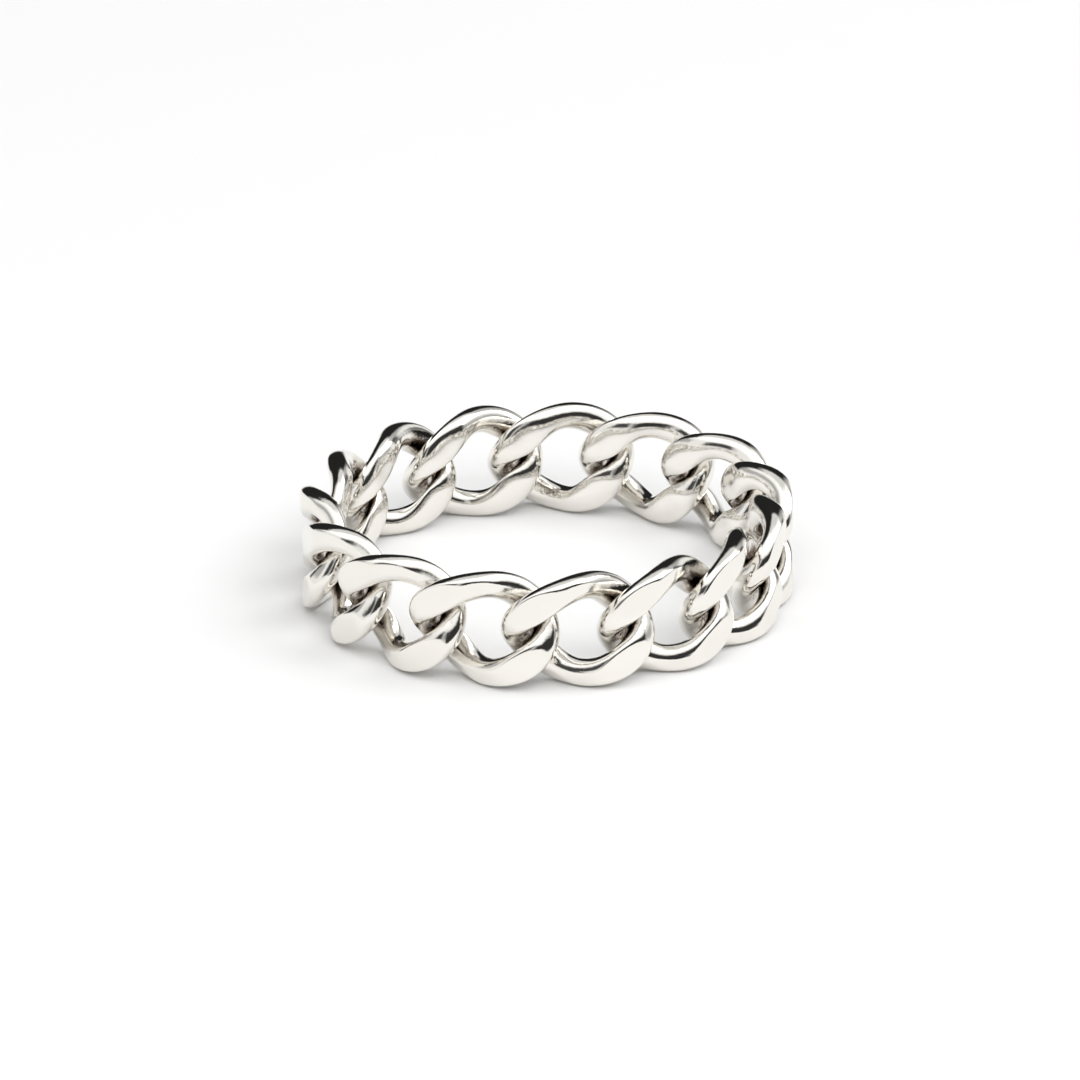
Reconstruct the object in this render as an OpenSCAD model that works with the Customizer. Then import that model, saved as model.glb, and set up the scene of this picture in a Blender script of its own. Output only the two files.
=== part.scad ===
// Curb chain ring: fifteen twisted oval links, each hooked through the next, closed into a finger ring.
// The ring lies on its side. Its axis is +Z, and the links rest on Z = 0.

/* [Ring] */
// Number of links round the ring, which sets the finger size
link_count = 15; // [13:1:18]
// Turn of the first link from the front (-Y) towards +X, in degrees
first_turn = 7.9; // [0:0.1:24]

/* [Link] */
// Length of one link over its outside, along the chain
link_l = 6.52; // [6.3:0.02:7.4]
// Height of one link over its outside, which is the height of the band
link_h = 5.0; // [4.4:0.1:6]
// Share by which the four shoulders of a link are drawn in from a plain oval
shoulder_in = 0.12; // [0:0.01:0.16]
// Distance that one link can still be pulled along the chain before the wires meet
play = 0.18; // [0.14:0.01:0.3]

/* [Wire] */
// Width of the wire across the face of the link
wire_w = 1.15; // [0.9:0.01:1.24]
// Thickness of the wire through the wall of the ring
wire_t = 1.04; // [0.8:0.02:1.2]
// Extra width where the wire is pressed, at the four shoulders
press_w = 0.2; // [0:0.01:0.26]
// Thickness of the band over the links' pressed faces
band_t = 1.91; // [1.7:0.01:2.1]
// Clearance through the wall between two wires that cross
cross_gap = 0.28; // [0.24:0.01:0.4]

/* [Facets] */
// Sides along the loop of a link
loop_sides = 16; // [12:2:16]
// Sides round the wire
wire_sides = 6; // [5:1:6]

/* [Hidden] */
// Half length and half height of the wire's centre line
loop_a = (link_l - wire_w) / 2;
loop_b = (link_h - wire_w) / 2;
// A shoulder's centre line lies this far outside or inside the middle of the wall
twist = (wire_t + cross_gap) / 2;
// A link's end hooks the end of the next, so the pitch is the clear length of the loop less the play
link_pitch = 2 * loop_a - wire_w - play;
ring_r = link_count * link_pitch / (2 * PI);
link_step = 360 / link_count;

LINK_NUMBERS = [for (n = [1 : link_count]) n];
function link_name(n) = str("link_", n < 10 ? "0" : "", n);

function unit(v) = v / norm(v);

// Centre line of a link laid flat: u along the chain, v up, w out of the wall.
// Seen from outside, the upper left and lower right shoulders lie outward and the other two inward.
function loop_point(f) = [
    loop_a * cos(f) * (1 - shoulder_in * pow(sin(f), 2)),
    loop_b * sin(f) * (1 - shoulder_in * pow(cos(f), 2)),
    -twist * sin(2 * f)
];
function loop_run(f) = unit(loop_point(f + 1) - loop_point(f - 1));

// Direction through the wall, square to the wire
function wire_up(f) =
    let (run = loop_run(f))
    unit([0, 0, 1] - run[2] * run);

// Share of the pressing at a place on the loop: full at the shoulders, none between them
function pressed(f) = pow(sin(2 * f), 2);

// Point on the wire's skin, s degrees round its oval section
function skin_point(f, s) =
    let (
        up = wire_up(f),
        side = cross(loop_run(f), up),
        half_w = (wire_w + press_w * pressed(f)) / 2
    )
    loop_point(f) + side * half_w * cos(s) + up * wire_t / 2 * sin(s);

// Depth from the middle of the wall, cut off level by the plates that press the band
function level(w) = max(-band_t / 2, min(band_t / 2, w));

// Bends the flat chain round the finger and stands it on Z = 0
function bent(p, turn) =
    let (
        angle = turn + p[0] / ring_r * 180 / PI,
        r = ring_r + level(p[2])
    )
    [r * cos(angle), r * sin(angle), p[1] + link_h / 2];

// Corner number of the closed mesh, counted along the loop and round the wire
function corner(i, j) = (i % loop_sides) * wire_sides + j % wire_sides;

// One link of soldered silver wire, at its place round the ring
module chain_link(n) {
    turn = first_turn - 90 + (n - 1) * link_step;
    corners = [
        for (i = [0 : loop_sides - 1], j = [0 : wire_sides - 1])
            bent(skin_point(i * 360 / loop_sides, j * 360 / wire_sides), turn)
    ];
    faces = [
        for (i = [0 : loop_sides - 1], j = [0 : wire_sides - 1], half = [0, 1])
            half == 0
                ? [corner(i, j), corner(i, j + 1), corner(i + 1, j + 1)]
                : [corner(i, j), corner(i + 1, j + 1), corner(i + 1, j)]
    ];
    color("gainsboro")
        polyhedron(corners, faces);
}

for (n = LINK_NUMBERS)
    chain_link(n);
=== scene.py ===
import bpy
import math
from mathutils import Matrix, Vector


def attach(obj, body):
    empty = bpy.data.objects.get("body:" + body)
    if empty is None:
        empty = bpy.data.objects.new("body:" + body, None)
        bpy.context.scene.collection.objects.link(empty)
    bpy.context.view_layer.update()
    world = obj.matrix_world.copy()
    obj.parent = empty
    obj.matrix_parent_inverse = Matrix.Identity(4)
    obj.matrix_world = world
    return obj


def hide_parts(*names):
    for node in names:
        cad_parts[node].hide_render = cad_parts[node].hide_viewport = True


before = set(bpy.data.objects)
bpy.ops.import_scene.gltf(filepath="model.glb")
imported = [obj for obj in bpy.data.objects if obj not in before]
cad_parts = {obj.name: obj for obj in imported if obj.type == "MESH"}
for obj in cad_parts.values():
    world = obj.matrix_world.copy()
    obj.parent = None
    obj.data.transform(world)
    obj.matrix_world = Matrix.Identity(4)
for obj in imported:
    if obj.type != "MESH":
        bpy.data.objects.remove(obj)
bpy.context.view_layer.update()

# The fifteen links: silver wire bent to an oval, soldered shut and twisted so that the chain lies
# flat, each hooked through the next. The band is then pressed, which levels the outer faces of the
# links and leaves the side towards the finger round, and is polished by hand.
mm = 0.001
link_count = 15
first_turn = 7.9  # degrees from the front towards the right
link_l, link_h = 6.52, 5.0  # over the outside of the wire
shoulder_in = 0.12  # share by which the shoulders are drawn in from a plain oval
play = 0.18  # how far a link can still be pulled along the chain
wire_w, wire_t = 1.15, 1.04
press_w = 0.2  # extra width at the shoulders
inner_press, inner_spread = 0.225, 0.25  # on the finger side of the inward shoulders
band_t = 1.91
cross_gap = 0.28  # through the wall, between two wires that cross
twist = (wire_t + cross_gap) / 2
face_flatness, face_edge = 0.32, 0.3
plate_edge = 0.14  # rounding left where the plate pressed the band level
unevenness = 0.009
link_pitch = link_l - 2 * wire_w - play
ring_r = link_count * link_pitch / (2 * math.pi)
link_step = 360 / link_count
loop_steps, wire_steps = 169, 73


class Term:
    """A socket in a node tree. Sums written with it add the Math nodes that work them out."""

    def __init__(self, tree, socket=None):
        self.tree, self.socket = tree, socket

    def node(self, kind, settings=None, values=None, out=0):
        """Any other node: settings first, then a value or a link for each named socket."""
        made = self.tree.nodes.new(kind)
        for name, value in (settings or {}).items():
            setattr(made, name, value)
        for name, value in (values or {}).items():
            place = made.inputs[name]
            if isinstance(value, Term):
                self.tree.links.new(value.socket, place)
            else:
                place.default_value = value
        return Term(self.tree, made.outputs[out])

    def out(self, name):
        """Another output of the same node."""
        return Term(self.tree, self.socket.node.outputs[name])

    def maths(self, operation, *terms):
        return self.node("ShaderNodeMath", {"operation": operation}, dict(enumerate(terms)))

    def vector(self, operation, *terms):
        return self.node("ShaderNodeVectorMath", {"operation": operation}, dict(enumerate(terms)))

    def point(self, x, y, z):
        return self.node("ShaderNodeCombineXYZ", {}, {"X": x, "Y": y, "Z": z})

    def axes(self):
        parts = self.node("ShaderNodeSeparateXYZ", {}, {"Vector": self})
        return parts.out("X"), parts.out("Y"), parts.out("Z")

    def scaled(self, length):
        return self.node("ShaderNodeVectorMath", {"operation": "SCALE"}, {0: self, "Scale": length})

    def blend(self, first, second):
        """A colour between two, by this share. A Mix node takes its colours in sockets 6 and 7."""
        return self.node("ShaderNodeMix", {"data_type": "RGBA"}, {
            "Factor": self, 6: first, 7: second}, out=2)

    def ramp(self, low, high):
        return self.node("ShaderNodeMapRange", {"interpolation_type": "SMOOTHSTEP"}, {
            "Value": self, "From Min": low, "From Max": high})

    def sin(self):
        return self.maths("SINE", self)

    def cos(self):
        return self.maths("COSINE", self)

    def sign(self):
        return self.maths("SIGN", self)

    def __abs__(self):
        return self.maths("ABSOLUTE", self)

    def __neg__(self):
        return self.maths("MULTIPLY", self, -1.0)

    def __add__(self, other):
        return self.maths("ADD", self, other)

    def __radd__(self, other):
        return self.maths("ADD", other, self)

    def __sub__(self, other):
        return self.maths("SUBTRACT", self, other)

    def __rsub__(self, other):
        return self.maths("SUBTRACT", other, self)

    def __mul__(self, other):
        return self.maths("MULTIPLY", self, other)

    def __rmul__(self, other):
        return self.maths("MULTIPLY", other, self)

    def __truediv__(self, other):
        return self.maths("DIVIDE", self, other)

    def __rtruediv__(self, other):
        return self.maths("DIVIDE", other, self)

    def __pow__(self, other):
        return self.maths("POWER", self, other)


def link_tree(name, sizes):
    """The node tree of one link: a grid rolled into a tube along the twisted oval."""
    tree = bpy.data.node_groups.new(name, "GeometryNodeTree")
    tree.interface.new_socket("Geometry", in_out="OUTPUT", socket_type="NodeSocketGeometry")
    for label, value in sizes.items():
        kind = "NodeSocketInt" if isinstance(value, int) else (
            "NodeSocketMaterial" if value is None else "NodeSocketFloat")
        made = tree.interface.new_socket(label, in_out="INPUT", socket_type=kind)
        if value is not None:
            made.default_value = value
    at = Term(tree)
    given = at.node("NodeGroupInput")
    size = {label: given.out(label) for label in sizes}

    # Round the loop by the grid's first way and round the wire by its second
    sheet = at.node("GeometryNodeMeshGrid", {}, {
        "Size X": 1.0, "Size Y": 1.0, "Vertices X": size["Loop Steps"], "Vertices Y": size["Wire Steps"]})
    spread = sheet.out("UV Map")
    loop_share, wire_share, _ = spread.axes()
    f = loop_share * (2 * math.pi)
    s = wire_share * (2 * math.pi)

    # The twisted oval and the direction in which it runs. Seen from outside, the upper left and the
    # lower right shoulder lie outward, where sin 2f is below zero, and the other two lie inward.
    sf, cf, s2f, c2f = f.sin(), f.cos(), (f * 2).sin(), (f * 2).cos()
    draw = size["Shoulder In"]
    along = size["Half Length"] * cf * (1 - draw * sf * sf)
    height = size["Half Height"] * sf * (1 - draw * cf * cf)
    depth = -(size["Twist"] * s2f)
    run = at.vector("NORMALIZE", at.point(
        -(size["Half Length"] * sf * (1 - draw * sf * sf + 2 * draw * cf * cf)),
        size["Half Height"] * cf * (1 - draw * cf * cf + 2 * draw * sf * sf),
        -(2 * size["Twist"] * c2f)))
    lean = run.axes()[2]
    up = at.vector("NORMALIZE", at.vector("SUBTRACT", (0, 0, 1), run.scaled(lean)))
    side = at.vector("CROSS_PRODUCT", run, up)

    # The wire's section is an oval, wider at the shoulders. The finger side of an inward shoulder is
    # pressed round, which spreads the half of it that is next to the hole into the cleft.
    inward = at.maths("MAXIMUM", s2f, 0.0)
    outer_half = (s.sin().sign() + 1) * 0.5
    half_w = (size["Wire Width"] + size["Press Width"] * s2f * s2f) * 0.5
    half_t = size["Wire Thickness"] * 0.5 - (1 - outer_half) * size["Inner Press"] * inward ** 4
    hole_side = at.maths("MINIMUM", s.cos() + s.sin(), 0.0)
    out_w = half_w * s.cos() - size["Inner Spread"] * inward ** 2 * hole_side ** 2 * 0.5

    # The outer face is pressed flat on the rim side of the wire, fully at the outward shoulder and
    # less and less to the inward one. A round edge is left on it.
    face_ends, face_full, rim_half, least_edge = -0.75, 0.35, 0.35, 0.02
    face = outer_half * (-s2f).ramp(face_ends, face_full) * s.cos().ramp(-rim_half, rim_half)
    flattened = at.maths(
        "SMOOTH_MIN", abs(s.sin()) * (1 + size["Face Flatness"] * face * sf * sf), 1.0,
        least_edge + size["Face Edge"] * face)
    out_t = half_t * s.sin().sign() * flattened
    skin = at.vector("ADD", side.scaled(out_w), up.scaled(out_t))
    skin_along, skin_height, skin_depth = at.vector("ADD", skin, at.point(along, height, depth)).axes()

    # Pressed level under a plate, then bent round the finger
    skin_depth = at.maths("SMOOTH_MIN", skin_depth, size["Band Thickness"] * 0.5, size["Plate Edge"])
    radius = size["Ring Radius"] + skin_depth
    angle = size["Turn"] + skin_along / size["Ring Radius"]
    place = at.point(radius * angle.cos(), radius * angle.sin(), skin_height + size["Link Height"] * 0.5)
    tube = at.node("GeometryNodeStoreNamedAttribute", {"data_type": "FLOAT2", "domain": "CORNER"}, {
        "Geometry": sheet, "Name": "UVMap", "Value": spread})
    tube = at.node("GeometryNodeSetPosition", {}, {"Geometry": tube, "Position": place})
    weld = 0.002 * mm
    tube = at.node("GeometryNodeMergeByDistance", {}, {"Geometry": tube, "Distance": weld})

    # How near the neighbouring links come, for the tarnish that polishing leaves and the painted shade in
    # the clefts
    both = at.node("GeometryNodeJoinGeometry")
    for way in (-1, 1):
        near = at.node("GeometryNodeTransform", {}, {
            "Geometry": tube, "Rotation": at.point(0.0, 0.0, size["Step"] * way)})
        tree.links.new(near.socket, both.socket.node.inputs[0])
    gap = at.node("GeometryNodeProximity", {"target_element": "FACES"}, {0: both}).out("Distance")
    tube = at.node("GeometryNodeStoreNamedAttribute", {"data_type": "FLOAT", "domain": "POINT"}, {
        "Geometry": tube, "Name": "gap", "Value": gap})

    # Hand polishing leaves shallow hollows in the skin, a few thousandths of a millimetre deep
    wave = at.node("ShaderNodeTexNoise", {"noise_dimensions": "3D"}, {
        "Vector": at.node("GeometryNodeInputPosition"), "Scale": 700.0, "Detail": 1.0, "Roughness": 0.4})
    stays_level = 0.75  # from this height of the wave up
    hollow = at.maths("MINIMUM", wave - stays_level, 0.0) * size["Unevenness"]
    tube = at.node("GeometryNodeSetPosition", {}, {
        "Geometry": tube, "Offset": at.node("GeometryNodeInputNormal").scaled(hollow)})
    tube = at.node("GeometryNodeSetShadeSmooth", {}, {"Geometry": tube})
    tube = at.node("GeometryNodeRealizeInstances", {}, {"Geometry": tube})
    tube = at.node("GeometryNodeSetMaterial", {}, {"Geometry": tube, "Material": size["Metal"]})
    last = tree.nodes.new("NodeGroupOutput")
    tree.links.new(tube.socket, last.inputs["Geometry"])
    return tree


# Polished sterling silver: a warm white mirror with the hair-fine lines of the polishing mop
# along the wire, faint smears of handling, small dents, most of them in the clefts between two
# wires, and brown tarnish there, deepened by painted shade. Depths are in thousandths of a millimetre.
polished, handled = (0.875, 0.85, 0.80, 1), (0.83, 0.80, 0.745, 1)
# Dark brown for the clefts: tarnish, made darker than tarnish alone as painted shade
tarnish_and_painted_shade = (0.14, 0.085, 0.05, 1)
mop_lines_scale = (14.0, 260.0, 1.0)  # along the wire and round it
mop_depth = 1.6
dent_depth, dents_rubbed_out = 21.0, 15.0
silver = bpy.data.materials.new("polished_silver")
silver.use_nodes = True
silver.node_tree.nodes.clear()
metal = Term(silver.node_tree)
here = metal.node("ShaderNodeTexCoord").out("Object")
run_of_wire = metal.node("ShaderNodeTexCoord").out("UV")
mop_lines = metal.node("ShaderNodeTexNoise", {"noise_dimensions": "3D"}, {
    "Vector": metal.vector("MULTIPLY", run_of_wire, mop_lines_scale),
    "Scale": 1.0, "Detail": 3.0, "Roughness": 0.6})
smears = metal.node("ShaderNodeTexNoise", {"noise_dimensions": "3D"}, {
    "Vector": here, "Scale": 420.0, "Detail": 3.0, "Roughness": 0.55, "Distortion": 0.6})
dents = metal.node("ShaderNodeTexNoise", {"noise_dimensions": "3D"}, {
    "Vector": here, "Scale": 3000.0, "Detail": 3.0, "Roughness": 0.6})
gap = metal.node("ShaderNodeAttribute", {"attribute_name": "gap"}).out("Fac")
# Near the neighbouring links the colour goes to dark brown: partly tarnish, partly painted shade where the
# wires crowd each other
cleft_tarnish_and_shade = (1 - gap.ramp(0.16 * mm, 0.45 * mm)) * (0.4 + 0.6 * dents.ramp(0.4, 0.58))
bright = (smears.ramp(0.45, 0.8) * 0.5).blend(polished, handled)
colour = (cleft_tarnish_and_shade * 0.9).blend(bright, tarnish_and_painted_shade)
gloss = 0.02 + 0.05 * smears.ramp(0.5, 0.85) + 0.03 * mop_lines.ramp(0.45, 0.75) + 0.14 * cleft_tarnish_and_shade
dent = dent_depth - dents_rubbed_out * gap.ramp(0.2 * mm, 0.75 * mm)
relief = metal.node("ShaderNodeBump", {}, {
    "Strength": 1.0, "Distance": 0.001 * mm, "Height": mop_depth * mop_lines + dent * dents})
skin = metal.node("ShaderNodeBsdfPrincipled", {}, {
    "Base Color": colour, "Metallic": 1.0, "Roughness": gloss, "Normal": relief})
shown = silver.node_tree.nodes.new("ShaderNodeOutputMaterial")
silver.node_tree.links.new(skin.socket, shown.inputs["Surface"])

# Each link is made by the same tree at its own turn, a step further counterclockwise seen from
# above, and hooks the one before it.
link_sizes = {
    "Turn": 0.0, "Step": math.radians(link_step), "Ring Radius": ring_r * mm,
    "Half Length": (link_l - wire_w) / 2 * mm, "Half Height": (link_h - wire_w) / 2 * mm,
    "Link Height": link_h * mm, "Shoulder In": shoulder_in, "Twist": twist * mm,
    "Wire Width": wire_w * mm, "Wire Thickness": wire_t * mm,
    "Press Width": press_w * mm, "Inner Press": inner_press * mm,
    "Inner Spread": inner_spread * mm, "Band Thickness": band_t * mm,
    "Face Flatness": face_flatness, "Face Edge": face_edge, "Plate Edge": plate_edge * mm,
    "Unevenness": unevenness * mm,
    "Loop Steps": loop_steps, "Wire Steps": wire_steps, "Metal": None}
chain_link = link_tree("chain_link", link_sizes)
sockets = {item.name: item.identifier for item in chain_link.interface.items_tree if item.in_out == "INPUT"}
for number in range(1, link_count + 1):
    name = f"link_{number:02d}"
    blank = bpy.data.objects.new("blank", bpy.data.meshes.new("blank"))
    bpy.context.scene.collection.objects.link(blank)
    shaper = blank.modifiers.new("shape", "NODES")
    shaper.node_group = chain_link
    shaper[sockets["Turn"]] = math.radians(first_turn - 90 + (number - 1) * link_step)
    shaper[sockets["Metal"]] = silver
    ready = blank.evaluated_get(bpy.context.evaluated_depsgraph_get())
    mesh = bpy.data.meshes.new_from_object(ready)
    bpy.data.objects.remove(blank)
    mesh.name = "polished_" + name
    link = bpy.data.objects.new("polished_" + name, mesh)
    bpy.context.scene.collection.objects.link(link)
    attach(link, "root")
    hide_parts(name)

# The table: a sheet of plain white card, larger than anything that the camera sees of it.
card_white = (0.84, 0.84, 0.84, 1)
table_half = 0.6
card = bpy.data.materials.new("white_card")
card.use_nodes = True
card_skin = card.node_tree.nodes["Principled BSDF"].inputs
card_skin["Base Color"].default_value = card_white
card_skin["Roughness"].default_value = 0.9
card_skin["Specular IOR Level"].default_value = 0.1
corners = [(x * table_half, y * table_half, 0) for x, y in [(-1, -1), (1, -1), (1, 1), (-1, 1)]]
table_mesh = bpy.data.meshes.new("white_table")
table_mesh.from_pydata(corners, [], [(0, 1, 2, 3)])
table_mesh.materials.append(card)
table = bpy.data.objects.new("white_table", table_mesh)
bpy.context.scene.collection.objects.link(table)

# The light: a white tent round the table, with dark gaps behind the ring and on both sides of the
# camera, which draw the dark lines on the wire. A soft box stands high on the right, and another
# in front, hidden from the mirror finish, lifts the shadows on the table.
tent = bpy.data.worlds.new("white_tent")
tent.use_nodes = True
wall = Term(tent.node_tree)
look_x, look_y, look_z = wall.node("ShaderNodeTexCoord").out("Generated").axes()
azimuth = wall.maths("ARCTAN2", look_x, look_y) * (180 / math.pi)
elevation = wall.maths("ARCSINE", look_z) * (180 / math.pi)


def opening(middle, half, low, high, edge, rim, dark):
    """Share of light left at a gap in the tent. It reaches half to each side of its middle, where
    0 is behind the ring and 90 to its right, and from low to high above the table, in degrees.
    Its sides fade over an edge and its top and bottom over a rim."""
    off = wall.maths("FLOORED_MODULO", azimuth - middle + 540, 360.0) - 180
    inside = (1 - abs(off).ramp(half - edge, half + edge)) * elevation.ramp(low - rim, low + rim)
    return 1 - inside * (1 - elevation.ramp(high - rim, high + rim)) * dark


glow = 0.93 + 0.45 * elevation.ramp(30, 62)
for place in [
        (-18, 44, 1, 50, 7, 4, 0.98),  # the wide gap behind the ring
        (-16, 44, 50, 76, 10, 8, 0.45),  # thicker cloth above it
        (45, 22, 22, 52, 8, 6, 0.5),  # thicker cloth behind, on the right
        (56, 9, 4, 34, 4, 4, 0.8),  # a slit below that
        (96, 14, 5, 22, 6, 4, 0.5),  # thicker cloth on the right
        (151, 42, 0, 34, 6, 4, 0.96),  # the gap to the right of the camera
        (-143, 18, 10, 38, 5, 4, 0.93),  # the gap to the left of the camera
        (-76, 14, 11, 31, 4, 4, 0.5)]:  # thicker cloth on the left
    glow = glow * opening(*place)
back_wall = tent.node_tree.nodes["Background"]
back_wall.inputs["Color"].default_value = (1.0, 1.0, 1.0, 1)
tent.node_tree.links.new(glow.socket, back_wall.inputs["Strength"])
bpy.context.scene.world = tent


def soft_box(name, width, height, strength, place):
    """A flat lamp that faces the ring."""
    lamp = bpy.data.lights.new(name, "AREA")
    lamp.shape, lamp.size, lamp.size_y = "RECTANGLE", width, height
    lamp.energy = strength * math.pi * width * height
    stand = bpy.data.objects.new(name, lamp)
    stand.location = place
    stand.rotation_euler = stand.location.to_track_quat("Z", "Y").to_euler()
    bpy.context.scene.collection.objects.link(stand)
    return stand


soft_box("right_box", 0.4, 0.32, 2.0, (0.36, 0.03, 0.42))
soft_box("front_box", 0.5, 0.3, 2.6, (0.08, -0.375, 0.321)).visible_glossy = False

# The camera stands in front and looks down at the ring with a long lens. Lengths named _px are
# pixels of the photograph.
photo_px, one_mm_px, distance_px = 1080, 23.27, 8000
shift_px = (-6.1, 1.3)
look_down, roll = math.radians(22.7), math.radians(-0.46)
eye = bpy.data.cameras.new("camera")
eye.sensor_width = 36.0
eye.lens = eye.sensor_width * distance_px / photo_px
eye.shift_x, eye.shift_y = shift_px[0] / photo_px, shift_px[1] / photo_px
eye.clip_start, eye.clip_end = 0.01, 10.0
camera = bpy.data.objects.new("camera", eye)
back = Vector((0, -math.cos(look_down), math.sin(look_down)))
camera.location = Vector((0, 0, link_h / 2 * mm)) + back * (distance_px / one_mm_px * mm)
camera.rotation_mode = "QUATERNION"
level_view = (-back).to_track_quat("-Z", "Y")
camera.rotation_quaternion = level_view @ Matrix.Rotation(roll, 3, "Z").to_quaternion()
bpy.context.scene.collection.objects.link(camera)
bpy.context.scene.camera = camera
bpy.context.scene.view_settings.view_transform = "Standard"
